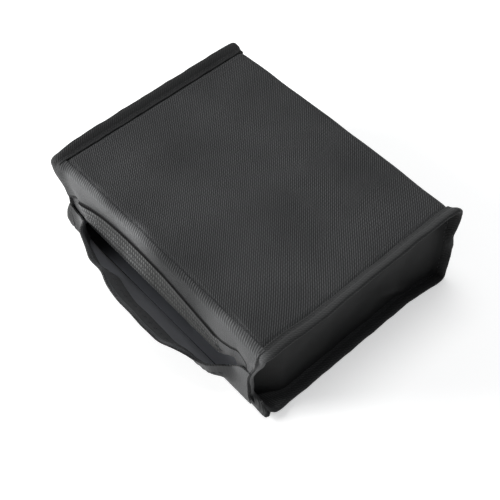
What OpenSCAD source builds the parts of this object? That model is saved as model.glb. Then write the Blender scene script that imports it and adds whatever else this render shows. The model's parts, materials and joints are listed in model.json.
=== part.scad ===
// Battery safe bag: a flat, box-shaped pouch of woven fabric with a fire barrier and a smooth lining.
// One long panel wraps over the top, down the back and under the bottom. A gusset closes each end, and
// the seam allowance round it stands out past the end in a folded binding tape. The long front side is
// the mouth. An upper and a lower lip turn on their folded edges, and hook tape on the outside of the
// upper lip meets loop tape on the inside of the lower one. Both lips are sewn fast at their ends.
//
// X runs along the bag's length, Y from the mouth (-Y) to the back (+Y) and Z up.
// The origin is the middle of the bottom face, which lies on the ground. Sizes are in millimetres.

/* [Bag] */
// Length over both bound ends
bag_l = 217; // [175:1:300]
// Depth from the closed mouth to the back
bag_w = 166; // [120:1:240]
// Height of the box
bag_h = 74; // [58:1:100]
// Outside radius of the long folded edges
corner_r = 4; // [3.8:0.1:7]

/* [Fabric layers] */
// Thickness of the woven outer fabric
outer_t = 1.0; // [0.7:0.05:1.2]
// Thickness of the glass-fibre fire barrier
barrier_t = 0.9; // [0.5:0.05:1.1]
// Thickness of the smooth lining
lining_t = 0.5; // [0.3:0.05:0.65]

/* [Bound seams] */
// How far the seam allowance stands out past each end
flange_w = 9.5; // [7:0.5:14]
// Thickness of the binding tape
tape_t = 0.6; // [0.4:0.05:0.75]

/* [Mouth] */
// Radius of the fold that each lip turns on
fold_r = 2.5; // [2.3:0.05:3.2]
// Lean of the lower lip out from upright, at rest
lower_lean = 34; // [10:1:50]
// Length at each end of the mouth that is sewn fast and doesn't swing
sewn_end = 28; // [20:1:45]
// Height left open between the two lips where they enter the end seam
corner_gap = 1.5; // [1:0.1:4]
// Clearance between a fold and its seat, and beside each swinging lip
clear = 0.3; // [0.2:0.05:0.5]

/* [Hook and loop] */
// Width of the hook tape and of the loop tape
closure_w = 20; // [14:1:24]
// Thickness of the hook tape
hook_t = 0.8; // [0.5:0.05:1]
// Thickness of the loop tape
loop_t = 0.8; // [0.5:0.05:1]
// Bare hem between each tape and its lip's free edge
hem_w = 1.5; // [1:0.1:3]
// Distance between the two rows of stitches along the loop tape
loop_row_gap = 2.5; // [1.5:0.1:5]

/* [Stitching] */
// Distance from one stitch to the next
stitch_pitch = 5; // [4:0.1:7]
// Length of the thread that shows in one stitch
stitch_len = 3.4; // [2:0.1:3.8]
// Width of the thread
stitch_w = 0.5; // [0.3:0.05:0.8]
// Height of the thread above the fabric
stitch_h = 0.25; // [0.15:0.05:0.4]

/* [Hidden] */
$fn = 48;

RIGHT = 1;
LEFT = -1;
UPPER = 1;
LOWER = 0;

// Depths in from the outer face, through the wall, a lip and the bound seam
wall_t = outer_t + barrier_t + lining_t;
lip_t = outer_t + lining_t;
rim_outer = tape_t + outer_t;
rim_inner = rim_outer + outer_t;
bound_t = rim_inner + tape_t;

// Places along X
end_x = bag_l / 2;
seam_x = end_x - flange_w;
inner_x = seam_x - wall_t;
swing_x = seam_x - sewn_end;

// Folded edges that the lips turn on. The upper one sits back by what the closed tapes take up.
upper_setback = lip_t + loop_t + hook_t + 2 * stitch_h + clear;
lower_axis = [-bag_w / 2 + fold_r, fold_r];
upper_axis = [lower_axis[0] + upper_setback, bag_h - fold_r];

// Length of a lip from its fold. When shut, the two overlap by one tape and one hem.
lip_len = (bag_h + closure_w + hem_w) / 2 - fold_r;
tape_start = lip_len - hem_w - closure_w;
lining_start = fold_r + clear;

// Stitch rows
binding_row_inset = 2;
top_row_inset = 3;
tape_row = tape_start + closure_w / 2;

// Mirrors what is drawn for the right end to the left one
module at_end(end) {
    mirror([end == LEFT ? 1 : 0, 0, 0]) children();
}

// Draws a flat shape, Y across and Z up, as a solid from x0 to x1
module along_x(x0, x1) {
    translate([x0, 0, 0]) rotate([90, 0, 90]) linear_extrude(x1 - x0) children();
}

// The bag's end outline, taken in by a depth
module outline(depth) {
    w = bag_w - 2 * depth;
    h = bag_h - 2 * depth;
    r = max(clear, corner_r - depth);
    translate([-w / 2, depth]) {
        translate([r, 0]) square([w - 2 * r, h]);
        translate([0, r]) square([w, h - 2 * r]);
        for (y = [r, w - r], z = [r, h - r]) translate([y, z]) circle(r);
    }
}

module band(d0, d1) {
    difference() {
        outline(d0);
        outline(d1);
    }
}

// The front of the outline, where the lips and their sewn ends are
module lip_side(lip, gap) {
    y = lip == UPPER ? upper_axis[0] : lower_axis[0];
    z = lip == UPPER ? (bag_h + gap) / 2 : -1;
    translate([y - bag_w, z]) square([bag_w, (bag_h - gap) / 2 + 1]);
}

// The wrapping panel's part of the outline: top, back and bottom
module wrap_side(d0, d1) {
    difference() {
        band(d0, d1);
        lip_side(UPPER, 0);
        lip_side(LOWER, 0);
    }
}

// Hollow seats along the wrapping panel's two front edges
module fold_seats() {
    for (axis = [lower_axis, upper_axis])
        along_x(-swing_x - clear, swing_x + clear) translate(axis) circle(fold_r + clear);
}

module wrap_outer() {
    color("#2b2d2e") {
        difference() {
            along_x(-seam_x, seam_x) wrap_side(0, outer_t);
            fold_seats();
        }
        for (end = [RIGHT, LEFT]) at_end(end)
            along_x(seam_x - outer_t / 2, end_x - tape_t) wrap_side(tape_t, rim_outer);
    }
}

// An inner layer of the wrapping panel
module wrap_layer(d0, d1) {
    difference() {
        along_x(-inner_x, inner_x) wrap_side(d0, d1);
        fold_seats();
    }
}

module wrap_barrier() {
    color("#c9c6b4") wrap_layer(outer_t, outer_t + barrier_t);
}

module wrap_lining() {
    color("#3a3c3f") wrap_layer(outer_t + barrier_t, wall_t);
}

// End panel, with its edge turned out into the bound seam
module gusset_outer(end) {
    color("#232425") at_end(end) {
        along_x(seam_x - outer_t, seam_x) outline(rim_outer);
        along_x(seam_x - outer_t / 2, end_x - tape_t) band(rim_outer, rim_inner);
    }
}

module gusset_barrier(end) {
    color("#c9c6b4") at_end(end)
        along_x(seam_x - outer_t - barrier_t, seam_x - outer_t) outline(wall_t + clear);
}

module gusset_lining(end) {
    color("#3a3c3f") at_end(end)
        along_x(inner_x, inner_x + lining_t) outline(wall_t + clear);
}

// Tape folded over the seam allowance, all the way round the end
module binding(end) {
    color("#303233") at_end(end) {
        along_x(seam_x + tape_t, end_x) band(0, tape_t);
        along_x(seam_x + tape_t, end_x) band(rim_inner, bound_t);
        along_x(end_x - tape_t, end_x) band(0, bound_t);
    }
}

// A row of stitches along X, centred, standing on Z = 0
module stitch_row(length) {
    count = floor((length - stitch_len) / stitch_pitch) + 1;
    for (i = [0 : count - 1])
        translate([(i - (count - 1) / 2) * stitch_pitch - stitch_len / 2, -stitch_w / 2, 0])
            cube([stitch_len, stitch_w, stitch_h]);
}

// Thread round the inside of a binding and along its top
module binding_stitching(end) {
    row_x = seam_x + tape_t + binding_row_inset;
    inside_y = bag_w / 2 - bound_t;
    long_row = bag_w - 2 * (corner_r + bound_t);
    short_row = bag_h - 2 * (corner_r + bound_t);
    color("#1c1d1e") at_end(end) {
        translate([row_x, 0, bag_h]) rotate([0, 0, 90]) stitch_row(long_row);
        translate([row_x, 0, bag_h - bound_t]) rotate([180, 0, 90]) stitch_row(long_row);
        translate([row_x, 0, bound_t]) rotate([0, 0, 90]) stitch_row(long_row);
        for (side = [-1, 1])
            translate([row_x, side * inside_y, bag_h / 2]) rotate([side * 90, 0, 0])
                rotate([0, 0, 90]) stitch_row(short_row);
    }
}

module top_edge_stitching() {
    color("#1c1d1e") translate([0, upper_axis[0] + top_row_inset, bag_h])
        stitch_row(2 * (seam_x - outer_t));
}

// Sets a lip's own frame on its fold: X along the bag, Y from the fold to the free edge, Z outwards.
// The upper lip hangs straight down, and the lower one leans out.
module on_lip(lip) {
    axis = lip == UPPER ? upper_axis : lower_axis;
    lean = lip == UPPER ? 0 : lower_lean;
    translate([0, axis[0], axis[1]]) mirror([0, 0, lip]) rotate([90 + lean, 0, 0]) children();
}

// One layer of a lip, as depths in from its outer face
module lip_layer(s0, s1, d0, d1) {
    translate([-swing_x, s0, fold_r - d1]) cube([2 * swing_x, s1 - s0, d1 - d0]);
}

module lip_outer(lip) {
    color("#4a4c4d") on_lip(lip) {
        rotate([90, 0, 90]) translate([0, 0, -swing_x]) cylinder(h = 2 * swing_x, r = fold_r);
        lip_layer(0, lip_len, 0, outer_t);
    }
}

module lip_lining(lip) {
    color("#3a3c3f") on_lip(lip) lip_layer(lining_start, lip_len, outer_t, lip_t);
}

module hook_tape() {
    color("#1f2021") on_lip(UPPER) lip_layer(tape_start, tape_start + closure_w, -hook_t, 0);
}

module loop_tape() {
    color("#262827") on_lip(LOWER) lip_layer(tape_start, tape_start + closure_w, lip_t, lip_t + loop_t);
}

module hook_tape_stitching() {
    color("#1c1d1e") on_lip(UPPER) translate([0, tape_row, fold_r + hook_t]) stitch_row(2 * swing_x);
}

module loop_tape_stitching() {
    color("#1c1d1e") on_lip(LOWER)
        for (side = [-1, 1])
            translate([0, tape_row + side * loop_row_gap / 2, fold_r - lip_t - loop_t])
                rotate([180, 0, 0]) stitch_row(2 * swing_x);
}

// The fast end of a lip, sewn into the gusset seam under the binding
module lip_end(lip, end) {
    color("#4a4c4d") at_end(end) {
        along_x(swing_x + clear, seam_x) intersection() {
            band(0, outer_t);
            lip_side(lip, corner_gap);
        }
        along_x(seam_x - outer_t / 2, end_x - tape_t) intersection() {
            band(tape_t, rim_outer);
            lip_side(lip, corner_gap);
        }
    }
}

module lip_end_lining(lip, end) {
    color("#3a3c3f") at_end(end) along_x(swing_x + clear, inner_x) intersection() {
        band(outer_t, lip_t);
        lip_side(lip, corner_gap);
    }
}

wrap_outer();
wrap_barrier();
wrap_lining();
gusset_outer(RIGHT);  // gusset_outer_right
gusset_barrier(RIGHT);  // gusset_barrier_right
gusset_lining(RIGHT);  // gusset_lining_right
gusset_outer(LEFT);  // gusset_outer_left
gusset_barrier(LEFT);  // gusset_barrier_left
gusset_lining(LEFT);  // gusset_lining_left
binding(RIGHT);  // binding_right
binding_stitching(RIGHT);  // binding_stitching_right
binding(LEFT);  // binding_left
binding_stitching(LEFT);  // binding_stitching_left
top_edge_stitching();
lip_outer(UPPER);  // upper_lip_outer
lip_lining(UPPER);  // upper_lip_lining
hook_tape();
hook_tape_stitching();
lip_outer(LOWER);  // lower_lip_outer
lip_lining(LOWER);  // lower_lip_lining
loop_tape();
loop_tape_stitching();
lip_end(UPPER, RIGHT);  // upper_lip_end_right
lip_end_lining(UPPER, RIGHT);  // upper_lip_end_lining_right
lip_end(UPPER, LEFT);  // upper_lip_end_left
lip_end_lining(UPPER, LEFT);  // upper_lip_end_lining_left
lip_end(LOWER, RIGHT);  // lower_lip_end_right
lip_end_lining(LOWER, RIGHT);  // lower_lip_end_lining_right
lip_end(LOWER, LEFT);  // lower_lip_end_left
lip_end_lining(LOWER, LEFT);  // lower_lip_end_lining_left
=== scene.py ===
"""Looks of the battery safe bag: a box-shaped cloth pouch lying on its large face, with its mouth open.

Every piece is cloth. A grid is laid along the bag by a rule that says where the cloth runs, and is then
given its thickness. The two lips are each made in three lengths: the middle swings with the lip, and the
lengths beside it stay in place, shaped to lean less towards the ends, because a lip's ends are sewn into the
end seams.
"""

import json
import math

import bpy
import numpy as np
from mathutils import Matrix, Vector


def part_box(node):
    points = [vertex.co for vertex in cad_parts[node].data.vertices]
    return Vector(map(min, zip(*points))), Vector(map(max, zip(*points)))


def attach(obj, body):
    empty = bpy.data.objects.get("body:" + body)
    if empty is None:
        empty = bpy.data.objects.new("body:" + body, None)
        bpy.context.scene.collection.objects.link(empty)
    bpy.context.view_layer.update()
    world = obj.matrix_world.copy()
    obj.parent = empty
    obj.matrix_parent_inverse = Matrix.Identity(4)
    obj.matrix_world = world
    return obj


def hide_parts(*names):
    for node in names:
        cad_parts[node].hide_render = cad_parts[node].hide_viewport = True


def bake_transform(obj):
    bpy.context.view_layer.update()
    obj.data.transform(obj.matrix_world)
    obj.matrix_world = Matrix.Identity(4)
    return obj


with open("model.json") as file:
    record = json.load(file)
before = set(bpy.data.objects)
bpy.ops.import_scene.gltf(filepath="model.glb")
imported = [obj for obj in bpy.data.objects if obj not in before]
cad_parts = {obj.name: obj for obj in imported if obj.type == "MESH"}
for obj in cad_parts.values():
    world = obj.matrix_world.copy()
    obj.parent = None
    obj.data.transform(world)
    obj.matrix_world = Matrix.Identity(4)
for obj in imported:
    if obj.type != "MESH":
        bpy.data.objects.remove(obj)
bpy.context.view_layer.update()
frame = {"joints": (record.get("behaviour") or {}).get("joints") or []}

MM = 0.001

# ---------------------------------------------------------------- sizes, from the frame

joints = {joint["name"]: joint for joint in frame["joints"]}
binding_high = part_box("binding_right")[1]
gusset_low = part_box("gusset_outer_right")[0]
lip_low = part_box("upper_lip_outer")[0]
hook_low, hook_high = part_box("hook_tape")

CLOTH_T = 1.0 * MM
BARRIER_T = 0.9 * MM
LINING_T = 0.5 * MM
TAPE_T = 0.8 * MM

TOP_Z = binding_high.z
HALF_W = binding_high.y
SEAM_X = gusset_low.x + CLOTH_T
LOWER_HINGE = joints["lower_lip_fold"]["pos_m"][1:]
UPPER_HINGE = joints["upper_lip_fold"]["pos_m"][1:]
LIP_LEN = UPPER_HINGE[1] - lip_low.z
HOOK_FROM = UPPER_HINGE[1] - hook_high.z
HOOK_TO = UPPER_HINGE[1] - hook_low.z
LOWER_LEAN = math.radians(-joints["lower_lip_fold"]["range_deg"][0])

# ---------------------------------------------------------------- small helpers


def smooth(t):
    """An even rise from 0 to 1 that starts and ends level."""
    t = np.clip(t, 0.0, 1.0)
    return t * t * (3 - 2 * t)


def curve_through(x, stations):
    """A smooth curve through (place, value) stations, which never swings past them."""
    places = np.array([place for place, _ in stations], float)
    values = np.array([value for _, value in stations], float)
    rise = np.diff(values) / np.diff(places)
    slopes = np.zeros(len(places))
    both = rise[:-1] * rise[1:]
    slopes[1:-1] = np.where(both > 0, 2 * both / np.where(both > 0, rise[:-1] + rise[1:], 1), 0)
    x = np.clip(x, places[0], places[-1])
    k = np.clip(np.searchsorted(places, x, side="right") - 1, 0, len(places) - 2)
    step = places[k + 1] - places[k]
    t = (x - places[k]) / step
    return (
        values[k] * (1 + 2 * t) * (1 - t) ** 2
        + slopes[k] * step * t * (1 - t) ** 2
        + values[k + 1] * t * t * (3 - 2 * t)
        + slopes[k + 1] * step * t * t * (t - 1)
    )


def ripple(a, b, length, phase=0.0):
    """Soft uneven waves, from -1 to 1, over two directions of a cloth."""
    a, b = a / length, b / length
    return (
        np.sin(2.1 * a + 1.3 * b + phase)
        + 0.6 * np.sin(-1.4 * a + 2.9 * b + 2.0 * phase + 1.0)
        + 0.4 * np.sin(4.3 * a - 0.8 * b + 3.0 * phase + 2.0)
    ) / 2.0


def select_only(piece):
    """Makes one piece the selected and active object."""
    bpy.ops.object.select_all(action="DESELECT")
    piece.select_set(True)
    bpy.context.view_layer.objects.active = piece


def apply_modifiers(piece):
    """Turns a piece's modifiers into its mesh."""
    select_only(piece)
    for modifier in list(piece.modifiers):
        bpy.ops.object.modifier_apply(modifier=modifier.name)


def sheet_of_cloth(name, columns, rows, place, uv_size, thickness, dark=None, crowding=1.0):
    """A grid primitive put in place by a rule on its two shares, 0 to 1, with a thickness behind its face.

    A rule for dark says where shade is painted onto the cloth, 0 to 1. Crowding above 1
    brings the rows closer together at the start of the sheet.
    """
    bpy.ops.object.select_all(action="DESELECT")
    bpy.ops.mesh.primitive_grid_add(x_subdivisions=columns, y_subdivisions=rows, size=2)
    piece = bpy.context.object
    piece.name = name
    mesh = piece.data
    mesh.name = name
    flat = np.empty(len(mesh.vertices) * 3)
    mesh.vertices.foreach_get("co", flat)
    u, v = (flat.reshape(-1, 3)[:, :2].T + 1) / 2
    v = v**crowding
    x, y, z = place(u, v)
    mesh.vertices.foreach_set("co", np.stack([x, y, z], axis=1).ravel())
    corner = np.empty(len(mesh.loops), int)
    mesh.loops.foreach_get("vertex_index", corner)
    shares = np.stack([u[corner] * uv_size[0], v[corner] * uv_size[1]], axis=1)
    mesh.uv_layers.active.data.foreach_set("uv", shares.ravel())
    # The painted shade, 0 to 1, is kept on the mesh for its material
    if dark:
        pressed = mesh.attributes.new("pressed", "FLOAT", "POINT")
        pressed.data.foreach_set("value", dark(u, v))
    if thickness:
        wall = piece.modifiers.new("thickness", "SOLIDIFY")
        wall.thickness = thickness
        wall.offset = -1
        wall.use_even_offset = True
    apply_modifiers(piece)
    bpy.ops.object.shade_smooth_by_angle(angle=math.radians(50))
    return piece


# ---------------------------------------------------------------- shader groups


def new_group(name, inputs, outputs):
    """A shader group with (label, kind, value) inputs and (label, kind) outputs, and its two end nodes."""
    group = bpy.data.node_groups.new(name, "ShaderNodeTree")
    for label, kind, value in inputs:
        socket = group.interface.new_socket(label, in_out="INPUT", socket_type=kind)
        if value is not None:
            socket.default_value = value
    for label, kind in outputs:
        group.interface.new_socket(label, in_out="OUTPUT", socket_type=kind)
    return group, group.nodes.new("NodeGroupInput"), group.nodes.new("NodeGroupOutput")


def math_node(tree, operation, a, b=None):
    """The result of a sum on sockets or numbers."""
    node = tree.nodes.new("ShaderNodeMath")
    node.operation = operation
    for socket, value in zip(node.inputs, (a, b)):
        if isinstance(value, bpy.types.NodeSocket):
            tree.links.new(value, socket)
        elif value is not None:
            socket.default_value = value
    return node.outputs[0]


# The weave's height from its columns and from its raised threads, and how far its noise shifts both
COLUMN_RISE = 0.44
STEP_RISE = 0.24
WEAVE_DRIFT = 6.0
THREAD_SHARPNESS = 1.6


def weave_group():
    """A plain weave turned by an eighth: columns of short raised threads, each column half a step on."""
    group, given, out = new_group(
        "weave",
        [
            ("Vector", "NodeSocketVector", None),
            ("Column spacing", "NodeSocketFloat", 1.6 * MM),
            ("Thread spacing", "NodeSocketFloat", 3.8 * MM),
            ("Unevenness", "NodeSocketFloat", 0.2),
        ],
        [("Height", "NodeSocketFloat"), ("Thread", "NodeSocketFloat")],
    )
    split = group.nodes.new("ShaderNodeSeparateXYZ")
    group.links.new(given.outputs["Vector"], split.inputs[0])
    wander = group.nodes.new("ShaderNodeTexNoise")
    wander.inputs["Scale"].default_value = 260.0
    wander.inputs["Detail"].default_value = 3.0
    group.links.new(given.outputs["Vector"], wander.inputs["Vector"])
    shift = math_node(group, "MULTIPLY", wander.outputs["Fac"], given.outputs["Unevenness"])
    across = math_node(group, "ADD", split.outputs["X"], split.outputs["Y"])
    along = math_node(group, "SUBTRACT", split.outputs["X"], split.outputs["Y"])
    full_turn = 2 * math.pi / math.sqrt(2)

    def wave(place, spacing, steps):
        turns = math_node(group, "DIVIDE", place, spacing)
        turns = math_node(group, "MULTIPLY", turns, full_turn / steps)
        drift = math_node(group, "MULTIPLY", shift, WEAVE_DRIFT)
        return math_node(group, "COSINE", math_node(group, "ADD", turns, drift))

    columns = math_node(group, "MULTIPLY", wave(across, given.outputs["Column spacing"], 1), COLUMN_RISE)
    steps = wave(across, given.outputs["Column spacing"], 2)
    threads = wave(along, given.outputs["Thread spacing"], 1)
    bumps = math_node(group, "MULTIPLY", math_node(group, "MULTIPLY", steps, threads), STEP_RISE)
    height = math_node(group, "ADD", math_node(group, "ADD", columns, bumps), 0.5)
    group.links.new(height, out.inputs["Height"])
    raised = math_node(group, "MAXIMUM", height, 0.0)
    group.links.new(math_node(group, "POWER", raised, THREAD_SHARPNESS), out.inputs["Thread"])
    return group


def grid_weave_group():
    """A square grid of small raised dots, as on hook tape and plain woven tape."""
    group, given, out = new_group(
        "grid_weave",
        [
            ("Vector", "NodeSocketVector", None),
            ("Spacing along", "NodeSocketFloat", 1.3 * MM),
            ("Spacing across", "NodeSocketFloat", 1.3 * MM),
        ],
        [("Height", "NodeSocketFloat")],
    )
    split = group.nodes.new("ShaderNodeSeparateXYZ")
    group.links.new(given.outputs["Vector"], split.inputs[0])

    def wave(place, spacing):
        turns = math_node(group, "MULTIPLY", math_node(group, "DIVIDE", place, spacing), 2 * math.pi)
        half = math_node(group, "MULTIPLY", math_node(group, "COSINE", turns), 0.5)
        return math_node(group, "ADD", half, 0.5)

    dots = math_node(
        group,
        "MULTIPLY",
        wave(split.outputs["X"], given.outputs["Spacing along"]),
        wave(split.outputs["Y"], given.outputs["Spacing across"]),
    )
    group.links.new(dots, out.inputs["Height"])
    return group


def mottle_group():
    """Broad soft patches and fine fibre specks, both from 0 to 1."""
    group, given, out = new_group(
        "mottle",
        [
            ("Vector", "NodeSocketVector", None),
            ("Patch scale", "NodeSocketFloat", 18.0),
            ("Fibre scale", "NodeSocketFloat", 1800.0),
        ],
        [("Patches", "NodeSocketFloat"), ("Fibres", "NodeSocketFloat")],
    )
    for label, scale, detail in (("Patches", "Patch scale", 4.0), ("Fibres", "Fibre scale", 2.0)):
        noise = group.nodes.new("ShaderNodeTexNoise")
        noise.inputs["Detail"].default_value = detail
        group.links.new(given.outputs["Vector"], noise.inputs["Vector"])
        group.links.new(given.outputs[scale], noise.inputs["Scale"])
        spread = group.nodes.new("ShaderNodeMapRange")
        spread.inputs["From Min"].default_value = 0.3
        spread.inputs["From Max"].default_value = 0.7
        group.links.new(noise.outputs["Fac"], spread.inputs["Value"])
        group.links.new(spread.outputs["Result"], out.inputs[label])
    return group


# Where the painted highlight on the front faces fades out: towards the back, round a place right of the
# middle, and at the two ends
HIGHLIGHT_WANDER = 14 * MM
HIGHLIGHT_BACK, HIGHLIGHT_FRONT = -73 * MM, -83 * MM
HIGHLIGHT_MIDDLE = 23 * MM
HIGHLIGHT_NEAR, HIGHLIGHT_FAR = 12 * MM, 46 * MM
HIGHLIGHT_LEFT = (-96 * MM, -86 * MM, 0.12, 1.0)
HIGHLIGHT_RIGHT = (25 * MM, 60 * MM, 1.0, 0.68)


def painted_highlight_group():
    """Where light is painted paler onto the cloth round the mouth: on the front faces, and least right of
    their middle.
    """
    group, given, out = new_group(
        "rubbed", [("Vector", "NodeSocketVector", None)], [("Share", "NodeSocketFloat")]
    )
    split = group.nodes.new("ShaderNodeSeparateXYZ")
    group.links.new(given.outputs["Vector"], split.inputs[0])
    noise = group.nodes.new("ShaderNodeTexNoise")
    noise.inputs["Scale"].default_value = 28.0
    noise.inputs["Detail"].default_value = 3.0
    group.links.new(given.outputs["Vector"], noise.inputs["Vector"])

    def spread(value, low, high, to_low, to_high):
        node = group.nodes.new("ShaderNodeMapRange")
        node.interpolation_type = "SMOOTHSTEP"
        group.links.new(value, node.inputs["Value"])
        amounts = {"From Min": low, "From Max": high, "To Min": to_low, "To Max": to_high}
        for label, amount in amounts.items():
            node.inputs[label].default_value = amount
        return node.outputs["Result"]

    wander = math_node(group, "SUBTRACT", noise.outputs["Fac"], 0.5)
    wander = math_node(group, "MULTIPLY", wander, HIGHLIGHT_WANDER)
    near = spread(math_node(group, "ADD", split.outputs["Y"], wander), HIGHLIGHT_BACK, HIGHLIGHT_FRONT, 0.0, 1.0)
    off_middle = math_node(group, "SUBTRACT", split.outputs["X"], HIGHLIGHT_MIDDLE)
    along = spread(math_node(group, "ABSOLUTE", off_middle), HIGHLIGHT_NEAR, HIGHLIGHT_FAR, 0.0, 1.0)
    at_left = spread(split.outputs["X"], *HIGHLIGHT_LEFT)
    at_right = spread(split.outputs["X"], *HIGHLIGHT_RIGHT)
    ends = math_node(group, "MULTIPLY", at_left, at_right)
    share = math_node(group, "MULTIPLY", math_node(group, "MULTIPLY", near, along), ends)
    group.links.new(share, out.inputs["Share"])
    return group


WEAVE = weave_group()
PAINTED_HIGHLIGHT_GROUP = painted_highlight_group()
GRID_WEAVE = grid_weave_group()
MOTTLE = mottle_group()


# ---------------------------------------------------------------- materials


def place_group(tree, group, vector, **values):
    """A shader group in a tree, with its vector and the inputs named by values."""
    node = tree.nodes.new("ShaderNodeGroup")
    node.node_tree = group
    tree.links.new(vector, node.inputs["Vector"])
    for label, value in values.items():
        node.inputs[label.replace("_", " ")].default_value = value
    return node


def mix_colour(tree, share, low, high):
    """The colour between low and high, which are sockets or colours."""
    node = tree.nodes.new("ShaderNodeMix")
    node.data_type = "RGBA"
    tree.links.new(share, node.inputs["Factor"])
    for socket, value in ((node.inputs[6], low), (node.inputs[7], high)):
        if isinstance(value, bpy.types.NodeSocket):
            tree.links.new(value, socket)
        else:
            socket.default_value = (*value, 1.0)
    return node.outputs[2]


FIBRE_SHARE = 0.35
PATCH_SHARE = 0.5
FIBRE_HEIGHT = 0.15
# The grid of a tape takes the painted highlight only where it is strongest
TAPE_HIGHLIGHT_POWER = 3.0


def cloth_material(
    name, dark, light, patch, weave=None, grid=None, rubbed=None,
    depth=0.3 * MM, rough=(0.7, 0.9), sheen=0.25, shine=0.3,
):
    """A cloth: dark between its threads, light on them, with patches and fibres over both.

    A weave is (column spacing, thread spacing, unevenness) and a grid is (spacing along, spacing across).
    The painted-highlight pair gives the dark and the light that take over where light is painted on the front
    faces round the mouth.
    """
    material = bpy.data.materials.new(name)
    material.use_nodes = True
    tree = material.node_tree
    shader = tree.nodes["Principled BSDF"]
    uv = tree.nodes.new("ShaderNodeUVMap")
    uv.uv_map = "UVMap"
    where = tree.nodes.new("ShaderNodeTexCoord").outputs["Object"]
    mottle = place_group(tree, MOTTLE, where)
    if grid:
        along, across = grid
        cross = place_group(tree, GRID_WEAVE, uv.outputs["UV"], Spacing_along=along, Spacing_across=across)
        height = threads = cross.outputs["Height"]
    else:
        column, step, uneven = weave
        cross = place_group(
            tree, WEAVE, uv.outputs["UV"], Column_spacing=column, Thread_spacing=step, Unevenness=uneven
        )
        height, threads = cross.outputs["Height"], cross.outputs["Thread"]
    colour = mix_colour(tree, threads, dark, light)
    flecks = math_node(tree, "MULTIPLY", mottle.outputs["Fibres"], FIBRE_SHARE)
    patches = math_node(tree, "MULTIPLY", mottle.outputs["Patches"], PATCH_SHARE)
    patches_and_painted_light = mix_colour(tree, patches, mix_colour(tree, flecks, colour, light), patch)
    # Painted highlight: paler colours on the front faces round the mouth
    if rubbed:
        share = place_group(tree, PAINTED_HIGHLIGHT_GROUP, where).outputs["Share"]
        share = math_node(tree, "POWER", share, TAPE_HIGHLIGHT_POWER) if grid else share
        patches_and_painted_light = mix_colour(tree, share, patches_and_painted_light, mix_colour(tree, threads, *rubbed))
    # Painted shade: the mesh's attribute mixes the colour towards near black
    pressed = tree.nodes.new("ShaderNodeAttribute")
    pressed.attribute_name = "pressed"
    patches_and_painted_light = mix_colour(tree, pressed.outputs["Fac"], patches_and_painted_light, PAINTED_SHADE_COLOUR)
    tree.links.new(patches_and_painted_light, shader.inputs["Base Color"])
    roughness = tree.nodes.new("ShaderNodeMapRange")
    roughness.inputs["To Min"].default_value = rough[0]
    roughness.inputs["To Max"].default_value = rough[1]
    tree.links.new(mottle.outputs["Patches"], roughness.inputs["Value"])
    tree.links.new(roughness.outputs["Result"], shader.inputs["Roughness"])
    bump = tree.nodes.new("ShaderNodeBump")
    bump.inputs["Distance"].default_value = depth
    bump.inputs["Strength"].default_value = 0.8
    fuzz = math_node(tree, "MULTIPLY", mottle.outputs["Fibres"], FIBRE_HEIGHT)
    tree.links.new(math_node(tree, "ADD", height, fuzz), bump.inputs["Height"])
    tree.links.new(bump.outputs["Normal"], shader.inputs["Normal"])
    shader.inputs["Sheen Weight"].default_value = sheen
    shader.inputs["Sheen Roughness"].default_value = 0.45
    shader.inputs["Specular IOR Level"].default_value = shine
    return material


# The near black that painted shade mixes towards
PAINTED_SHADE_COLOUR = (0.0015, 0.0015, 0.0016)
# The paler dark and light that the painted highlight brings to the front faces
PAINTED_HIGHLIGHT_CLOTH = ((0.094, 0.095, 0.0958), (0.162, 0.1636, 0.165))

woven = cloth_material(
    "woven_cloth", (0.0012, 0.0012, 0.0013), (0.056, 0.0574, 0.0586), (0.0145, 0.015, 0.0153),
    weave=(1.32 * MM, 3.0 * MM, 0.25), rubbed=PAINTED_HIGHLIGHT_CLOTH, depth=0.4 * MM, sheen=0.08,
)
gusset_cloth = cloth_material(
    "gusset_cloth", (0.0052, 0.0054, 0.0054), (0.0104, 0.0107, 0.0108), (0.0076, 0.0078, 0.0079),
    weave=(0.7 * MM, 1.4 * MM, 0.2), depth=0.06 * MM, rough=(0.6, 0.75), sheen=0.04, shine=0.16,
)
binding_cloth = cloth_material(
    "binding_tape", (0.014, 0.0145, 0.0145), (0.09, 0.092, 0.092), (0.042, 0.043, 0.043),
    weave=(1.2 * MM, 2.4 * MM, 0.2), rubbed=PAINTED_HIGHLIGHT_CLOTH, depth=0.25 * MM, rough=(0.65, 0.85), sheen=0.08,
)
# The lining is grey, made paler than its own tone as painted light for the dim inside of the mouth
lining_cloth = cloth_material(
    "smooth_lining", (0.36, 0.37, 0.4), (0.48, 0.49, 0.53), (0.42, 0.43, 0.465),
    weave=(0.6 * MM, 1.2 * MM, 0.1), depth=0.04 * MM, rough=(0.4, 0.6), sheen=0.15,
)
barrier_cloth = cloth_material(
    "glass_fibre_cloth", (0.35, 0.33, 0.25), (0.62, 0.59, 0.48), (0.5, 0.47, 0.37),
    weave=(1.2 * MM, 2.4 * MM, 0.2), depth=0.2 * MM,
)
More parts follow.
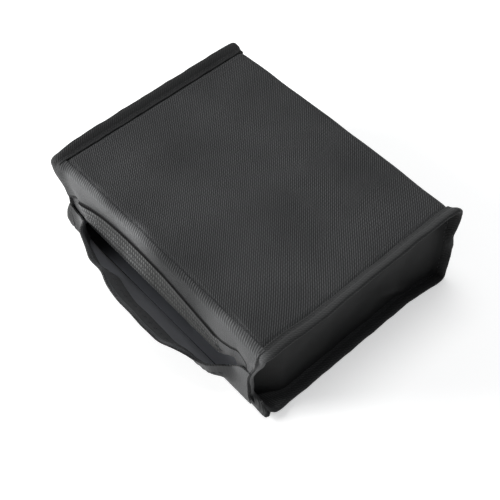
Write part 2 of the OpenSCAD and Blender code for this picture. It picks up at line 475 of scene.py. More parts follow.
# The hook tape's second pair of colours is its painted highlight
hook_cloth = cloth_material(
    "hook_tape", (0.003, 0.0031, 0.003), (0.15, 0.153, 0.148), (0.024, 0.0245, 0.024),
    grid=(2.2 * MM, 4.6 * MM), rubbed=((0.06, 0.0606, 0.0606), (0.29, 0.294, 0.293)), depth=0.7 * MM,
    rough=(0.5, 0.8), sheen=0.1,
)
loop_cloth = cloth_material(
    "loop_tape", (0.042, 0.0433, 0.0455), (0.069, 0.071, 0.0745), (0.054, 0.0556, 0.0582),
    weave=(0.5 * MM, 0.9 * MM, 0.6), depth=0.2 * MM, rough=(0.85, 0.98), sheen=0.08, shine=0.15,
)
thread_cloth = cloth_material(
    "sewing_thread", (0.008, 0.008, 0.009), (0.03, 0.03, 0.032), (0.018, 0.018, 0.019),
    weave=(0.3 * MM, 0.6 * MM, 0.1), depth=0.05 * MM, rough=(0.4, 0.6), sheen=0.1,
)


def dress(piece, material, *stands_for):
    """Gives a piece its material, in one slot, and hides the frame's nodes that it stands for."""
    piece.data.materials.clear()
    piece.data.materials.append(material)
    if stands_for:
        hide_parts(*stands_for)
    return piece


# ---------------------------------------------------------------- slack at the ends

# How far the right end's corner is drawn in and its top and back bow out, and the left seam's pinch
CORNER_DRAW = 10.5 * MM
TOP_BOW = 2.6 * MM
BACK_BOW = 3.0 * MM
SEAM_PINCH = 4.0 * MM


def settle(x, y, z):
    """Moves places near the ends, where the slack cloth is drawn in or stands out of its flat box."""
    x, y, z = np.broadcast_arrays(x, y, z)
    at_right = smooth((x - 58 * MM) / (38 * MM))
    at_left = smooth((-x - 66 * MM) / (30 * MM))
    front = smooth((-58 * MM - y) / (22 * MM))
    # The right end's lower front corner is drawn in, but its floor flange lies where it was
    low = 1 - smooth((z - 28 * MM) / (42 * MM))
    flange = smooth((x - 99.5 * MM) / (6 * MM)) * (1 - smooth((z - 4 * MM) / (6 * MM)))
    drawn = CORNER_DRAW * at_right * front * low * (1 - flange)
    # Its top seam bows out, and so does its back
    high = smooth((z - 20 * MM) / (40 * MM))
    bowed = TOP_BOW * at_right * smooth((y + 72 * MM) / (45 * MM)) * high
    bowed = bowed + BACK_BOW * at_right * smooth((y - 45 * MM) / (35 * MM)) * (1 - high)
    # The left end's front seam is pinched half way up
    pinched = SEAM_PINCH * at_left * front * np.exp(-(((z - 40 * MM) / (13 * MM)) ** 2))
    return x - drawn + bowed + pinched, y, z


# ---------------------------------------------------------------- wrapping panel

BACK_R = 6.0 * MM
TOP_RUN = HALF_W - BACK_R - UPPER_HINGE[0]
ARC_RUN = BACK_R * math.pi / 2
BACK_RUN = TOP_Z - 2 * BACK_R
BOTTOM_RUN = HALF_W - BACK_R - LOWER_HINGE[0]
WRAP_RUN = TOP_RUN + 2 * ARC_RUN + BACK_RUN + BOTTOM_RUN
TUCK = 2.0 * MM
EDGE_ROW = 1.2 * MM
TOP_SAG = 1.6 * MM
WRAP_BOW = 1.2 * MM
WRAP_WAVE = 0.35 * MM
SEAM_GROOVE = 1.3 * MM
STITCH_DIP = 0.5 * MM
# Beside both folds the panel keeps to its flat box, where the lips take over
FOLD_CLEAR = 16 * MM
# The inner layers stop short of the end seams
INNER_REACH = SEAM_X - 2.5 * MM
# At the lower fold the lining lies over the start of the lip, and clears it when the lip opens
LINING_LIFT = 0.25 * MM


def wrap_place(s):
    """Place and outward normal (Y, Z) on the wrapping panel, s from the upper fold round to the lower one."""
    after_top = s - TOP_RUN
    after_arc = after_top - ARC_RUN
    after_back = after_arc - BACK_RUN
    after_low_arc = after_back - ARC_RUN
    turn = (np.clip(after_top / ARC_RUN, 0, 1) + np.clip(after_back / ARC_RUN, 0, 1)) * math.pi / 2
    ny, nz = np.sin(turn), np.cos(turn)
    centre_y = HALF_W - BACK_R
    y = np.where(after_top < 0, UPPER_HINGE[0] + s, centre_y + BACK_R * ny)
    y = np.where(after_low_arc > 0, centre_y - after_low_arc, y)
    upper_z = TOP_Z - BACK_R + BACK_R * nz
    z = np.where(after_arc < 0, upper_z, TOP_Z - BACK_R - np.clip(after_arc, 0, BACK_RUN))
    z = np.where(after_back > 0, BACK_R + BACK_R * nz, z)
    return y, z, ny, nz


def wrap_bulge(x, s, y, ny, nz):
    """How far the panel stands out of its flat box: it sags on top, bows behind and dips at its seams."""
    middle = 1 - (x / SEAM_X) ** 2
    deep = np.clip(1 - (y / HALF_W) ** 2, 0, 1)
    sag = -TOP_SAG * middle * deep * np.clip(nz, 0, 1)
    bow = WRAP_BOW * middle * np.clip(ny, 0, 1)
    waves = WRAP_WAVE * ripple(x, s, 22 * MM) * np.clip(middle * 3, 0, 1) * np.clip(nz + 0.6, 0, 1)
    groove = -SEAM_GROOVE * np.exp(-(((SEAM_X - np.abs(x)) / (1.3 * MM)) ** 2))
    under = np.abs(x) > SEAM_X
    groove = np.where(under, -SEAM_GROOVE, groove) * np.clip(nz + 0.9, 0, 1)
    clear = smooth(s / FOLD_CLEAR) * smooth((WRAP_RUN - s) / FOLD_CLEAR)
    topstitch = -STITCH_DIP * np.exp(-(((s - EDGE_ROW) / (1.0 * MM)) ** 2))
    return (sag + bow + waves) * clear + groove + topstitch


def wrap_sheet(name, depth, thickness, material, reach, s_from, s_to, hold, *stands_for, dark=None, lift=0.0):
    """One layer of the wrapping panel, from one fold to the other, which lift raises at the lower one."""

    def place(u, v):
        x = (2 * u - 1) * reach
        s = s_from + (s_to - s_from) * v
        y, z, ny, nz = wrap_place(s)
        level = CLOTH_T + (depth - CLOTH_T) * smooth(s / (5 * MM)) if depth else 0
        level = level + lift * smooth((s - WRAP_RUN + 7 * MM) / (4 * MM))
        out = wrap_bulge(x, s, y, ny, nz) - level
        y, z = y + ny * out, z + nz * out
        return settle(x, y, np.maximum(z, 0.05 * MM + level))

    size = (2 * reach, s_to - s_from)
    piece = sheet_of_cloth(name, 108, 250, place, size, thickness, dark, crowding=1.2)
    dress(piece, material, *stands_for)
    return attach(piece, "bag")


def lining_dark(u, v):
    """The lining is in deep shade inside the left end of the mouth."""
    x = (2 * u - 1) * INNER_REACH
    return 0.9 * (1 - smooth((x + 76 * MM) / (30 * MM)))


wrap_sheet("wrap_panel", 0, CLOTH_T, woven, SEAM_X + TUCK, 0, WRAP_RUN, [], "wrap_outer")
wrap_sheet(
    "wrap_fire_layer", CLOTH_T + 0.02 * MM, BARRIER_T - 0.06 * MM, barrier_cloth, INNER_REACH,
    6 * MM, WRAP_RUN - 6 * MM, ["wrap_panel"], "wrap_barrier",
)
wrap_sheet(
    "wrap_inner_lining", CLOTH_T + BARRIER_T, LINING_T, lining_cloth, INNER_REACH,
    0, WRAP_RUN - 0.1 * MM, ["wrap_fire_layer"], "wrap_lining", dark=lining_dark, lift=LINING_LIFT,
)

# ---------------------------------------------------------------- lips

LEFT_FIXED, LEFT_FREE = -90.0 * MM, -4.0 * MM
RIGHT_FREE, RIGHT_FIXED = 30.0 * MM, 90.0 * MM
FOLD_RISE = TOP_Z - UPPER_HINGE[1]
LIP_ARC = FOLD_RISE * math.pi / 2
CREASE = HOOK_FROM - 0.9 * MM


def swing_share(x):
    """How far the cloth at x leans with the middle of its lip, from 0 at the sewn ends to 1."""
    left = (x - LEFT_FIXED) / (LEFT_FREE - LEFT_FIXED)
    right = (RIGHT_FIXED - x) / (RIGHT_FIXED - RIGHT_FREE)
    return smooth(np.minimum(left, right))


# In these tables, the first number of each pair is the place along the bag and both are in mm.
# How far the upper lip stands out of its hinge line: at its fold, at the crease and at its edge
FOLD_OUT = [(-99, 6.4), (-80, 6.0), (-45, 5.0), (20, 5.0), (80, 6.0), (99, 6.4)]
CREASE_OUT = [
    (-99, 4.1), (-90, 4.1), (-81, 6.1), (-69, 3.4), (-58, 1.5), (-33, 0.5), (0, 1.0), (25, 2.7),
    (52, 4.9), (67, 6.0), (77, 5.2), (84, 3.5), (99, 3.5),
]
EDGE_OUT = [(-99, 3.4), (-85, 3.4), (-75, 4.0), (75, 4.0), (85, 3.4), (99, 3.4)]
# The doubled strip above the tape: how far it stands out of the cloth below it, and where it ends
STRIP_PROUD = [(-99, 2.4), (-88, 0.9), (-75, 0.3), (80, 0.3), (86, 0.9), (92, 1.8), (99, 2.2)]
STRIP_END = [
    (-99, 27.5), (-93, 25), (-86, 22), (-78, 21), (-60, 22.2), (66, 22.2), (75, 21), (84, 20.4),
    (90, 20.8), (94, 22.5), (99, 31),
]
# How far each lip's free edge is from its fold. The upper one turns up out of sight past the end of its tape
LOWER_EDGE = [
    (-99, 30), (-92, 27), (-86, 27), (-79, 32), (-70, 38), (-52, 42), (-20, 44.5), (40, 45), (52, 42),
    (62, 36), (70, 33.5), (75, 32.5), (79, 31), (84, 29.5), (88, 32), (93, 38), (99, 40),
]
UPPER_EDGE = [
    (-99, 45), (60, 45), (66, 42), (71, 39), (75, 35.5), (79, 33), (83, 33), (86, 36), (90, 41), (99, 45),
]
# Slack at the ends of the lower lip, which stands out even when the mouth is shut
SLACK = [(-86, 0), (-66, 6.5), (-48, 6.5), (-28, 0), (40, 0), (69, 5.5), (86, 0)]


def in_mm(stations):
    """A table in mm as stations in metres."""
    return [(place * MM, value * MM) for place, value in stations]


def upper_profile(x, s):
    """How far out and down the upper lip's cloth is, from its hinge line."""
    fold, crease, edge = (curve_through(x, in_mm(stations)) for stations in (FOLD_OUT, CREASE_OUT, EDGE_OUT))
    turn = np.clip(-s / LIP_ARC, 0, 1) * math.pi / 2
    out = np.where(
        s < CREASE,
        fold + (crease - fold) * smooth(s / CREASE),
        crease + (edge - crease) * smooth((s - CREASE) / (LIP_LEN - CREASE)),
    )
    out = out * np.cos(turn)
    run = np.where(s < 0, -FOLD_RISE * np.sin(turn), s)
    return out, run


def lower_profile(x, s):
    """How far out and up the lower lip's cloth is when shut: it passes outside the tape of the upper lip."""
    turn = np.clip(-s / LIP_ARC, 0, 1) * math.pi / 2
    fold = LOWER_HINGE[1] * 0.98
    passing = 1.6 * MM + curve_through(x, in_mm(SLACK)) + 0.5 * MM * ripple(x, s, 14 * MM, 1.0)
    inner = 1 - smooth((np.abs(x) - 80 * MM) / (10 * MM))
    out = fold + passing * inner * smooth(s / (22 * MM))
    out = out * np.cos(turn)
    run = np.where(s < 0, -fold * np.sin(turn), s)
    return out, run


LIPS = {
    "upper": {"hinge": UPPER_HINGE, "up": -1, "lean": 0.0, "profile": upper_profile},
    "lower": {"hinge": LOWER_HINGE, "up": 1, "lean": LOWER_LEAN, "profile": lower_profile},
}


def lip_place(lip, x, s, depth):
    """Rest place of a lip's cloth: s runs from the fold to the free edge, and depth goes in from its face."""
    out, run = lip["profile"](x, s)
    step = 0.1 * MM
    out_b, run_b = lip["profile"](x, s + step)
    d_out, d_run = out_b - out, run_b - run
    size = np.hypot(d_out, d_run) + 1e-12
    out = out - depth * d_run / size
    run = run + depth * d_out / size
    angle = lip["lean"] * swing_share(x)
    y = lip["hinge"][0] - run * np.sin(angle) - out * np.cos(angle)
    z = lip["hinge"][1] + lip["up"] * (run * np.cos(angle) - out * np.sin(angle))
    return y, z


LENGTHS = {
    "left": (-SEAM_X - TUCK, LEFT_FREE),
    "middle": (LEFT_FREE, RIGHT_FREE),
    "right": (RIGHT_FREE, SEAM_X + TUCK),
}


def hang(piece, side, length):
    """Rides the middle length on its lip, and fixes the others where they are; their lean between the lip and
    the bag is in their shape.
    """
    body = side + "_lip"
    if length == "middle":
        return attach(piece, body)
    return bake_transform(piece)


def lip_cloth(label, side, s_from, s_to, depth, thickness, material, reach, stands_for, rows=40, dark=None):
    """One layer of a lip, in its three lengths."""
    lip = LIPS[side]
    for length, (x_from, x_to) in LENGTHS.items():
        x_from, x_to = max(x_from, reach[0]), min(x_to, reach[1])

        def place(u, v, x_from=x_from, x_to=x_to):
            x = x_from + (x_to - x_from) * u
            share = 1 - v if side == "upper" else v
            s = s_from(x) + (s_to(x) - s_from(x)) * share
            y, z = lip_place(lip, x, s, depth(x, s))
            return settle(x, y, z)

        columns = max(8, round((x_to - x_from) / (1.5 * MM)))
        middle = np.array([(x_from + x_to) / 2])
        size = (x_to - x_from, float((s_to(middle) - s_from(middle))[0]))

        # Where shade is painted on this length
        def pressed(u, v, x_from=x_from, x_to=x_to):
            x = x_from + (x_to - x_from) * u
            share = 1 - v if side == "upper" else v
            return dark(x, s_from(x) + (s_to(x) - s_from(x)) * share)

        name = f"{side}_{label}_{length}"
        piece = sheet_of_cloth(name, columns, rows, place, size, thickness, dark and pressed)
        dress(piece, material, *stands_for.get(length, ()))
        hang(piece, side, length)


def level(value):
    """A rule that gives the same value everywhere."""
    return lambda x, s=0: np.full(np.shape(x), value)


def edge_of(stations, inset=0.0):
    """A rule that follows a table of distances from the fold, less an inset."""
    return lambda x: curve_through(x, in_mm(stations)) - inset


WHOLE = (-SEAM_X - TUCK, SEAM_X + TUCK)
# The linings of the lips end just inside the end seams
INSIDE = (-SEAM_X + 1.5 * MM, SEAM_X - 1.5 * MM)
HOOKED = (-84.0 * MM, 70.0 * MM)
LOOPED = (-84.0 * MM, 80.0 * MM)
TAPE_W = HOOK_TO - HOOK_FROM
TAPE_INSET = 1.5 * MM
STRIP_T = 1.3 * MM
# Where the upper lip's cloth starts behind the strip, and how much deeper than it the lining lies
UNDER_STRIP = 13 * MM
BEHIND_CREASE = 1.9 * MM


def past_strip(x, s):
    """How far below the end of the strip a place on the upper lip is."""
    return s - edge_of(STRIP_END)(x)


def strip_depth(x, s):
    """The doubled strip stands out of the cloth below it."""
    return -curve_through(x, in_mm(STRIP_PROUD)) * smooth((s + 2 * MM) / (9 * MM))


def strip_dark(x, s):
    """Painted shade: a crisp dark line where the strip's hem turns under over the step below it."""
    return smooth((past_strip(x, s) + 2.5 * MM) / (0.6 * MM))


def edge_dark(x, s):
    """The lower lip's turned edge is darkened with painted shade, against the painted highlight on its face.
    """
    return 0.75 * smooth((s - edge_of(LOWER_EDGE)(x) + 1.2 * MM) / (0.8 * MM))


def hem_dark(x, s):
    """Painted shade on the lower lining, rising to half over its first 20 mm, and more near its edge."""
    edge = smooth((s - edge_of(LOWER_EDGE)(x) + 3.2 * MM) / (1.6 * MM))
    return 0.5 * smooth(s / (20 * MM)) + 0.45 * edge


def tape_depth(x, s):
    """The hook tape lies on the cloth, and sinks under its stitching at the right end."""
    return -0.6 * MM - TAPE_T + (TAPE_T + 0.3 * MM) * smooth((x - 59 * MM) / (8 * MM))


def behind_crease(x, s):
    """The cloth comes out from behind the strip in a sharp step, on which the tape is sewn."""
    return 1.4 * MM - 2.0 * MM * smooth((past_strip(x, s) - 0.2 * MM) / (0.5 * MM))


def crease_dark(fade):
    """A rule for a crisp line of painted shade at the step below the strip."""
    return lambda x, s: 1 - smooth((past_strip(x, s) - 0.9 * MM) / fade)


def in_lengths(node_middle, node_end):
    """The nodes that the three lengths of a lip's layer stand for."""
    return {"left": [node_end + "_left"], "middle": [node_middle], "right": [node_end + "_right"]}


lip_cloth(
    "strip", "upper", level(-LIP_ARC), edge_of(STRIP_END), strip_depth, STRIP_T, woven, WHOLE,
    in_lengths("upper_lip_outer", "upper_lip_end"), rows=64, dark=strip_dark,
)
lip_cloth(
    "lip_cloth", "upper", level(UNDER_STRIP), edge_of(UPPER_EDGE), behind_crease, CLOTH_T, woven, WHOLE, {},
    rows=90, dark=crease_dark(0.4 * MM),
)
lip_cloth(
    "lip_lining", "upper", level(1 * MM), edge_of(UPPER_EDGE), level(CLOTH_T + BEHIND_CREASE),
    LINING_T, lining_cloth, INSIDE, in_lengths("upper_lip_lining", "upper_lip_end_lining"),
)
lip_cloth(
    "hook_tape", "upper", edge_of(STRIP_END, -0.8 * MM), edge_of(UPPER_EDGE, TAPE_INSET), tape_depth, TAPE_T,
    hook_cloth, HOOKED, {"middle": ["hook_tape"]}, dark=crease_dark(0.3 * MM),
)
lip_cloth(
    "lip_cloth", "lower", level(-LIP_ARC), edge_of(LOWER_EDGE), level(0.0), CLOTH_T, woven, WHOLE,
    in_lengths("lower_lip_outer", "lower_lip_end"), rows=70, dark=edge_dark,
)
lip_cloth(
    "lip_lining", "lower", level(-0.5 * LIP_ARC), edge_of(LOWER_EDGE, 0.6 * MM), level(CLOTH_T),
    LINING_T, lining_cloth, INSIDE, in_lengths("lower_lip_lining", "lower_lip_end_lining"), dark=hem_dark,
)
lip_cloth(
    "loop_tape", "lower", edge_of(LOWER_EDGE, TAPE_W + TAPE_INSET), edge_of(LOWER_EDGE, TAPE_INSET),
    level(CLOTH_T + LINING_T), TAPE_T, loop_cloth, LOOPED, {"middle": ["loop_tape"]},
)

# ---------------------------------------------------------------- end panels

INNER_HALF_W = HALF_W - 1.6 * MM
INNER_HALF_H = TOP_Z / 2 - 1.6 * MM
# How deep an end panel's dish, its waves and the pucker in it are
GUSSET_DISH = 2.4 * MM
GUSSET_WAVE = 0.5 * MM
PUCKER = 2.2 * MM


def gusset_dish(side, p, q):
    """How far an end panel is drawn in from its seam, for shares -1 to 1 across and up."""
    dome = (1 - p**2) * (1 - q**2)
    drawn = GUSSET_DISH * dome**0.7
    y, z = p * HALF_W, (1 + q) * TOP_Z / 2
    waves = GUSSET_WAVE * ripple(y, z, 15 * MM, 0.7 + side) * np.clip(dome * 2.5, 0, 1)
    # A pucker that runs up from the bottom seam near the back
    slant = (y - 40 * MM) * 0.6 + (z - 14 * MM) * 0.8
    near = np.exp(-(((y - 42 * MM) / (26 * MM)) ** 2) - ((z - 12 * MM) / (18 * MM)) ** 2)
    pucker = PUCKER * np.exp(-((slant / (4 * MM)) ** 2)) * near
    return drawn + waves - pucker


def gusset_sheet(name, side, depth, thickness, material, *stands_for):
    """One layer of an end panel. The outermost, at depth 0, turns out into the bound seam."""

    def place(u, v):
        p, q = (2 * u - 1) * side, 2 * v - 1
        corner = 1 - 0.012 * (p * q) ** 8
        inset = 0 if depth == 0 else 3 * MM
        y = p * (INNER_HALF_W - inset) * corner
        z = TOP_Z / 2 + q * (INNER_HALF_H - inset) * corner
        turned = np.maximum(np.abs(p) ** 90, np.abs(q) ** 45) * 3.5 * MM * (depth == 0)
        x = SEAM_X - gusset_dish(side, p, q) + turned - depth
        return settle(side * x, y, z)

    piece = sheet_of_cloth(name, 96, 48, place, (2 * HALF_W, TOP_Z), thickness)
    dress(piece, material, *stands_for)
    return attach(piece, "bag")


for side, end in ((1, "right"), (-1, "left")):
    gusset_sheet(f"gusset_panel_{end}", side, 0, CLOTH_T, gusset_cloth, f"gusset_outer_{end}")
    gusset_sheet(
        f"gusset_fire_layer_{end}", side, CLOTH_T + 0.1 * MM, BARRIER_T - 0.15 * MM, barrier_cloth,
        f"gusset_barrier_{end}",
    )
    gusset_sheet(
        f"gusset_inner_lining_{end}", side, CLOTH_T + BARRIER_T, LINING_T, lining_cloth,
        f"gusset_lining_{end}",
    )

# ---------------------------------------------------------------- bindings

BIND_R = 4.0 * MM
UP_RUN = TOP_Z - 2 * BIND_R
OVER_RUN = 2 * HALF_W - 2 * BIND_R
BEND_RUN = BIND_R * math.pi / 2
RIM = 2 * (UP_RUN + OVER_RUN) + 4 * BEND_RUN
# Distances round the rim, from the bottom front corner: up the front, over the top, down the back, home below
FRONT_TOP = UP_RUN + BEND_RUN
BACK_TOP = FRONT_TOP + OVER_RUN + BEND_RUN
BACK_LOW = BACK_TOP + UP_RUN + BEND_RUN


def rim_place(t):
    """Place and outward normal (Y, Z) at a distance round the end outline, which closes on its start."""
    t = np.where(t > RIM - 0.01 * MM, 0.0, t)
    y = np.zeros_like(t)
    z = np.zeros_like(t)
    ny = np.zeros_like(t)
    nz = np.zeros_like(t)
    start, y0, z0, heading = 0.0, -HALF_W, BIND_R, math.pi / 2
    for run in (UP_RUN, OVER_RUN, UP_RUN, OVER_RUN):
        inside = (t >= start) & (t <= start + run)
        far = t[inside] - start
        y[inside], z[inside] = y0 + far * math.cos(heading), z0 + far * math.sin(heading)
        ny[inside], nz[inside] = -math.sin(heading), math.cos(heading)
        y0, z0, start = y0 + run * math.cos(heading), z0 + run * math.sin(heading), start + run
        centre_y, centre_z = y0 + BIND_R * math.sin(heading), z0 - BIND_R * math.cos(heading)
        inside = (t > start) & (t < start + BEND_RUN)
        bend = heading - (t[inside] - start) / BIND_R
        ny[inside], nz[inside] = -np.sin(bend), np.cos(bend)
        y[inside], z[inside] = centre_y + BIND_R * ny[inside], centre_z + BIND_R * nz[inside]
        heading -= math.pi / 2
        y0, z0 = centre_y - BIND_R * math.sin(heading), centre_z + BIND_R * math.cos(heading)
        start += BEND_RUN
    return y, z, ny, nz


# The folded tape's section, in mm: distance out from the seam, and height over the outer face. It tips about
# a line this far below that face
TAPE_CORE = 1.6 * MM
TAPE_SECTION = [
    (0.4, -3.0), (2.6, -2.7), (5.5, -3.2), (8.2, -3.1), (9.4, -2.3), (9.5, -1.2),
    (8.6, -0.2), (5.8, 0.2), (2.7, -0.3), (0.6, 0.2), (0.1, -0.6), (0.1, -2.2),
]


def closed_curve(q, points):
    """Catmull-Rom curve through a closed list of points, q from 0 to 1."""
    points = np.array(points, float) * MM
    count = len(points)
    place = np.mod(q, 1.0) * count
    k = place.astype(int) % count
    t = (place - np.floor(place))[:, None]
    a, b, c, d = (points[(k + shift) % count] for shift in (-1, 0, 1, 2))
    return 0.5 * (2 * b + (c - a) * t + (2 * a - 5 * b + 4 * c - d) * t**2 + (3 * b - a - 3 * c + d) * t**3)


# These tables go round a rim of this length, in mm: how far the tape tips out, in degrees, and its share of
# the full width
TABLE_RIM = 478 * MM
BINDING_TIP = {
    "right": [
        (0, -60), (12, -35), (29, -25), (43, -22), (56, -18), (66, -8), (74, 0), (90, 8), (115, 18),
        (145, 30), (225, 30), (236, 26), (243, 24), (260, 6), (280, 36), (291, 20), (303, 14), (314, 2),
        (460, 0), (466, -6), (473, -40),
    ],
    "left": [
        (0, 5), (14, 12), (34, -20), (56, 4), (66, 10), (80, 20), (110, 25), (225, 25), (236, 15),
        (270, 10), (305, 4), (320, 0), (473, 2),
    ],
}
BINDING_WIDTH = {
    "right": [
        (0, 0.6), (8, 0.45), (20, 0.45), (45, 0.5), (62, 0.62), (76, 0.9), (225, 0.97), (236, 1.1),
        (262, 0.95), (473, 1.0),
    ],
    "left": [
        (0, 0.75), (6, 0.85), (12, 0.75), (20, 0.6), (34, 0.3), (41, 0.5), (48, 0.9), (56, 1.05),
        (66, 0.95), (72, 0.9), (84, 1.02), (110, 1.08), (225, 1.1), (310, 0.95), (473, 0.9),
    ],
}
# The share of the full width where the tape's two ends meet, and how far along that takes hold
MEETING_WIDTH = 0.9
MEETING_RUN = 5 * MM


def binding_place(end, side):
    """The rule for one end's tape: u goes round the rim and v round the folded tape's section."""

    def place(u, v):
        t = u * RIM
        y, z, ny, nz = rim_place(t)
        section = closed_curve(v, TAPE_SECTION)
        along = t / RIM * TABLE_RIM
        width = curve_through(along, in_mm(BINDING_WIDTH[end])) / MM
        tip = np.radians(curve_through(along, in_mm(BINDING_TIP[end])) / MM)
        closing = smooth(np.minimum(t, RIM - t) / MEETING_RUN)
        width = MEETING_WIDTH + (width - MEETING_WIDTH) * closing
        tip = tip * closing + 0.03 * ripple(t, t * 0, 13 * MM, side) * closing
        out = section[:, 0] * width + 0.25 * MM * ripple(t, section[:, 0], 7 * MM, side) * closing
        rise = section[:, 1] + TAPE_CORE
        rise = rise * (1 + 0.12 * ripple(t, t * 0, 11 * MM, 2 + side) * closing)
        x = SEAM_X + out * np.cos(tip) - rise * np.sin(tip)
        lift = rise * np.cos(tip) + out * np.sin(tip) - TAPE_CORE
        y, z = y + ny * lift, z + nz * lift
        return settle(side * x, y, np.maximum(z, 0.02 * MM))

    return place


# How much painted shade darkens the tape along each rim, 0 to 1: none up the front of the right end, where
# the light falls, most down its back
BINDING_PAINTED_SHADE = {
    "right": [
        (0, 0.5), (5, 0.35), (11, 0.0), (60, 0.0), (84, 0.66), (228, 0.66), (244, 0.78), (300, 0.85),
        (340, 0.66), (400, 0.38), (473, 0.3),
    ],
    "left": [(0, 0.5), (60, 0.5), (80, 0.75), (473, 0.75)],
}
TAPE_GIRTH = 25 * MM


def close_seams(piece):
    """Joins a tube of cloth along both of its seams, and turns its faces outwards."""
    select_only(piece)
    bpy.ops.object.mode_set(mode="EDIT")
    bpy.ops.mesh.select_all(action="SELECT")
    bpy.ops.mesh.remove_doubles(threshold=0.02 * MM)
    bpy.ops.mesh.normals_make_consistent(inside=False)
    bpy.ops.object.mode_set(mode="OBJECT")


for side, end in ((1, "right"), (-1, "left")):

    # Painted shade along the rim
    def binding_shade(u, v, end=end):
        return curve_through(u * TABLE_RIM, in_mm(BINDING_PAINTED_SHADE[end])) / MM

    tape = sheet_of_cloth(
        f"binding_tape_{end}", 300, 36, binding_place(end, side), (RIM, TAPE_GIRTH), 0, binding_shade
    )
    close_seams(tape)
    dress(tape, binding_cloth, f"binding_{end}")
    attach(tape, "bag")

# ---------------------------------------------------------------- stitches

STITCH_PITCH = 5.0 * MM
STITCH_LEN = 3.6 * MM
STITCH_W = 0.55 * MM


def one_stitch():
    """Points and faces of a single stitch, a short thread that dips into the cloth at both ends."""
    bpy.ops.object.select_all(action="DESELECT")
    bpy.ops.mesh.primitive_uv_sphere_add(segments=8, ring_count=6, radius=1)
    ball = bpy.context.object
    points = np.array([vertex.co[:] for vertex in ball.data.vertices])
    faces = [tuple(face.vertices) for face in ball.data.polygons]
    bpy.data.objects.remove(ball)
    points = points[:, [2, 0, 1]] * (STITCH_LEN / 2, STITCH_W / 2, STITCH_W / 2)
    points[:, 2] -= 0.5 * STITCH_W * (points[:, 0] / (STITCH_LEN / 2)) ** 4
    return points, faces


STITCH_POINTS, STITCH_FACES = one_stitch()


def stitch_row(name, centres, directions, normals, material):
    """One mesh of separate stitches at these centres, each along its direction and lying on its normal."""
    vertices, faces = [], []
    for centre, along, up in zip(centres, directions, normals):
        along = along / np.linalg.norm(along)
        up = up - along * np.dot(up, along)
        up = up / np.linalg.norm(up)
        axes = np.stack([along, np.cross(up, along), up])
        start = len(vertices) * len(STITCH_POINTS)
        vertices.append(STITCH_POINTS @ axes + centre)
        faces += [tuple(start + k for k in face) for face in STITCH_FACES]
    mesh = bpy.data.meshes.new(name)
    mesh.from_pydata(np.concatenate(vertices).tolist(), [], faces)
    mesh.uv_layers.new(name="UVMap")
    piece = bpy.data.objects.new(name, mesh)
    bpy.context.scene.collection.objects.link(piece)
    select_only(piece)
    bpy.ops.object.shade_smooth()
    return dress(piece, material)


def row_along(path, low, high):
    """Centres, directions and normals of stitches along a path, which gives a place and a normal."""
    count = int((high - low) / STITCH_PITCH)
    t = low + (np.arange(count) + 0.5) * (high - low) / count
    centre, normal = path(t)
    ahead, _ = path(t + 0.2 * MM)
    return centre, ahead - centre, normal


def lip_row(side, s_of_x, depth, facing):
    """A path along a lip at a depth, with its normal out of the face (1) or in (-1)."""
    lip = LIPS[side]

    def path(x):
        s = s_of_x(x)
        y, z = lip_place(lip, x, s, depth)
        y2, z2 = lip_place(lip, x, s, depth - facing * 0.5 * MM)
        return np.stack(settle(x, y, z), 1), np.stack([x * 0, y2 - y, z2 - z], 1)

    return path


def lip_threads(label, side, rows, low, high, stands_for):
    """The stitches of a tape on its lip, in the lip's three lengths."""
    for length, (x_from, x_to) in LENGTHS.items():
        x_from, x_to = max(x_from, low), min(x_to, high)
        parts = [row_along(path, x_from, x_to) for path in rows]
        centres, directions, normals = (np.concatenate(group) for group in zip(*parts))
        piece = stitch_row(f"{side}_{label}_{length}", centres, directions, normals, thread_cloth)
        if length == "middle":
            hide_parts(stands_for)
        hang(piece, side, length)


TAPE_MIDDLE = (HOOK_FROM + HOOK_TO) / 2
lip_threads(
    "tape_thread", "upper", [lip_row("upper", level(TAPE_MIDDLE), -0.65 * MM - TAPE_T, 1)], *HOOKED,
    "hook_tape_stitching",
)
# Two rows, seen on the tape's face and on the outside of the lip
LOOP_FACE = CLOTH_T + LINING_T + TAPE_T
LOOP_ROWS = [edge_of(LOWER_EDGE, TAPE_INSET + share * TAPE_W) for share in (0.45, 0.57)]
lip_threads(
    "tape_thread", "lower",
    [
        lip_row("lower", row, depth, facing)
        for depth, facing in ((LOOP_FACE, -1), (0.0, 1))
        for row in LOOP_ROWS
    ],
    *LOOPED, "loop_tape_stitching",
)


def top_row(x):
    """The path of the topstitch beside the front top fold."""
    s = np.full(x.shape, EDGE_ROW)
    y, z, ny, nz = wrap_place(s)
    out = wrap_bulge(x, s, y, ny, nz)
    return np.stack(settle(x, y, z + out), 1), np.stack([x * 0, ny, nz], 1)


edge_path = row_along(top_row, -SEAM_X + 2 * MM, SEAM_X - 2 * MM)
edge_thread = stitch_row("top_edge_thread", *edge_path, thread_cloth)
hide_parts("top_edge_stitching")
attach(edge_thread, "bag")


def binding_rows(end, side):
    """The stitches through one binding: a row on its outer face, but not below, and one on its inner face."""
    place = binding_place(end, side)

    def path_at(v):
        def path(t):
            share = t / RIM
            here = np.stack(place(share, np.full(t.shape, v)), 1)
            ahead = np.stack(place(share + 1e-4, np.full(t.shape, v)), 1)
            across = np.stack(place(share, np.full(t.shape, v + 0.01)), 1)
            return here, np.cross(across - here, ahead - here) * -side

        return path

    top_share = 8 / len(TAPE_SECTION)
    inside_share = 1 / len(TAPE_SECTION)
    parts = [
        row_along(path_at(top_share), 4 * MM, BACK_LOW - 4 * MM),
        row_along(path_at(inside_share), 4 * MM, RIM - 4 * MM),
    ]
    return (np.concatenate(group) for group in zip(*parts))


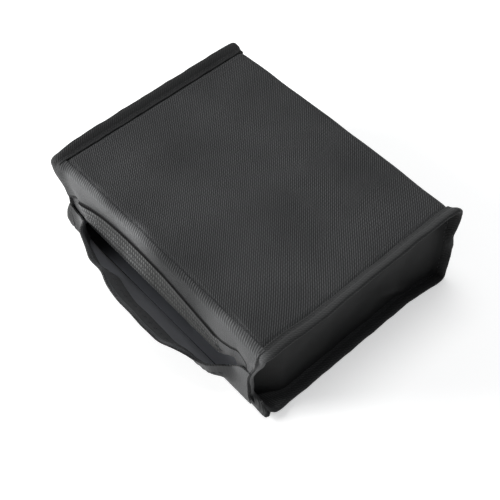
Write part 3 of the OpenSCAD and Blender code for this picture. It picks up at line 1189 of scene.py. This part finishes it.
for side, end in ((1, "right"), (-1, "left")):
    row = stitch_row(f"binding_thread_{end}", *binding_rows(end, side), thread_cloth)
    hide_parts(f"binding_stitching_{end}")
    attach(row, "bag")

# ---------------------------------------------------------------- floor, light and camera

FLOOR_GLOW = 0.45


def floor_material():
    """A pale floor that glows a little to the eye, so that it runs out into white."""
    material = bpy.data.materials.new("pale_floor")
    material.use_nodes = True
    tree = material.node_tree
    shader = tree.nodes["Principled BSDF"]
    shader.inputs["Base Color"].default_value = (0.80, 0.80, 0.795, 1)
    shader.inputs["Roughness"].default_value = 0.6
    shader.inputs["Specular IOR Level"].default_value = 0.2
    path = tree.nodes.new("ShaderNodeLightPath")
    glow = tree.nodes.new("ShaderNodeEmission")
    seen = math_node(tree, "MAXIMUM", path.outputs["Is Camera Ray"], path.outputs["Is Glossy Ray"])
    tree.links.new(math_node(tree, "MULTIPLY", seen, FLOOR_GLOW), glow.inputs["Strength"])
    add = tree.nodes.new("ShaderNodeAddShader")
    tree.links.new(shader.outputs[0], add.inputs[0])
    tree.links.new(glow.outputs[0], add.inputs[1])
    tree.links.new(add.outputs[0], tree.nodes["Material Output"].inputs["Surface"])
    return material


bpy.ops.object.select_all(action="DESELECT")
bpy.ops.mesh.primitive_plane_add(size=8)
floor = bpy.context.object
floor.name = "floor"
floor.data.materials.append(floor_material())


def area_light(name, place, aim, size, power):
    """A round soft light at a place, turned to its aim."""
    light = bpy.data.lights.new(name, "AREA")
    light.shape = "DISK"
    light.size = size
    light.energy = power
    lamp = bpy.data.objects.new(name, light)
    bpy.context.scene.collection.objects.link(lamp)
    lamp.location = place
    lamp.rotation_euler = (Vector(aim) - Vector(place)).to_track_quat("-Z", "Y").to_euler()


BAG_MIDDLE = (0, 0, 0.03)
area_light("window", (-1.0, -1.0, 0.58), BAG_MIDDLE, 0.8, 30)
area_light("room", (-0.25, 0.2, 1.6), BAG_MIDDLE, 1.0, 12)

world = bpy.data.worlds.new("studio")
bpy.context.scene.world = world
world.use_nodes = True
world.node_tree.nodes["Background"].inputs["Color"].default_value = (0.95, 0.97, 1.0, 1)
world.node_tree.nodes["Background"].inputs["Strength"].default_value = 0.3

camera_data = bpy.data.cameras.new("camera")
camera_data.sensor_width = 36
camera_data.lens = 67.61
camera_data.clip_end = 20
camera = bpy.data.objects.new("camera", camera_data)
bpy.context.scene.collection.objects.link(camera)
CAMERA_PLACE = Vector((0.30698, -0.25704, 0.54682))
CAMERA_RIGHT = Vector((0.66533, 0.74618, -0.02362))
CAMERA_DOWN = Vector((0.59334, -0.54772, -0.58988))
CAMERA_FORWARD = Vector((-0.45309, 0.37845, -0.80715))
turn = Matrix((CAMERA_RIGHT, -CAMERA_DOWN, -CAMERA_FORWARD)).transposed()
camera.matrix_world = Matrix.Translation(CAMERA_PLACE) @ turn.to_4x4()
bpy.context.scene.camera = camera
bpy.context.scene.view_settings.view_transform = "Standard"
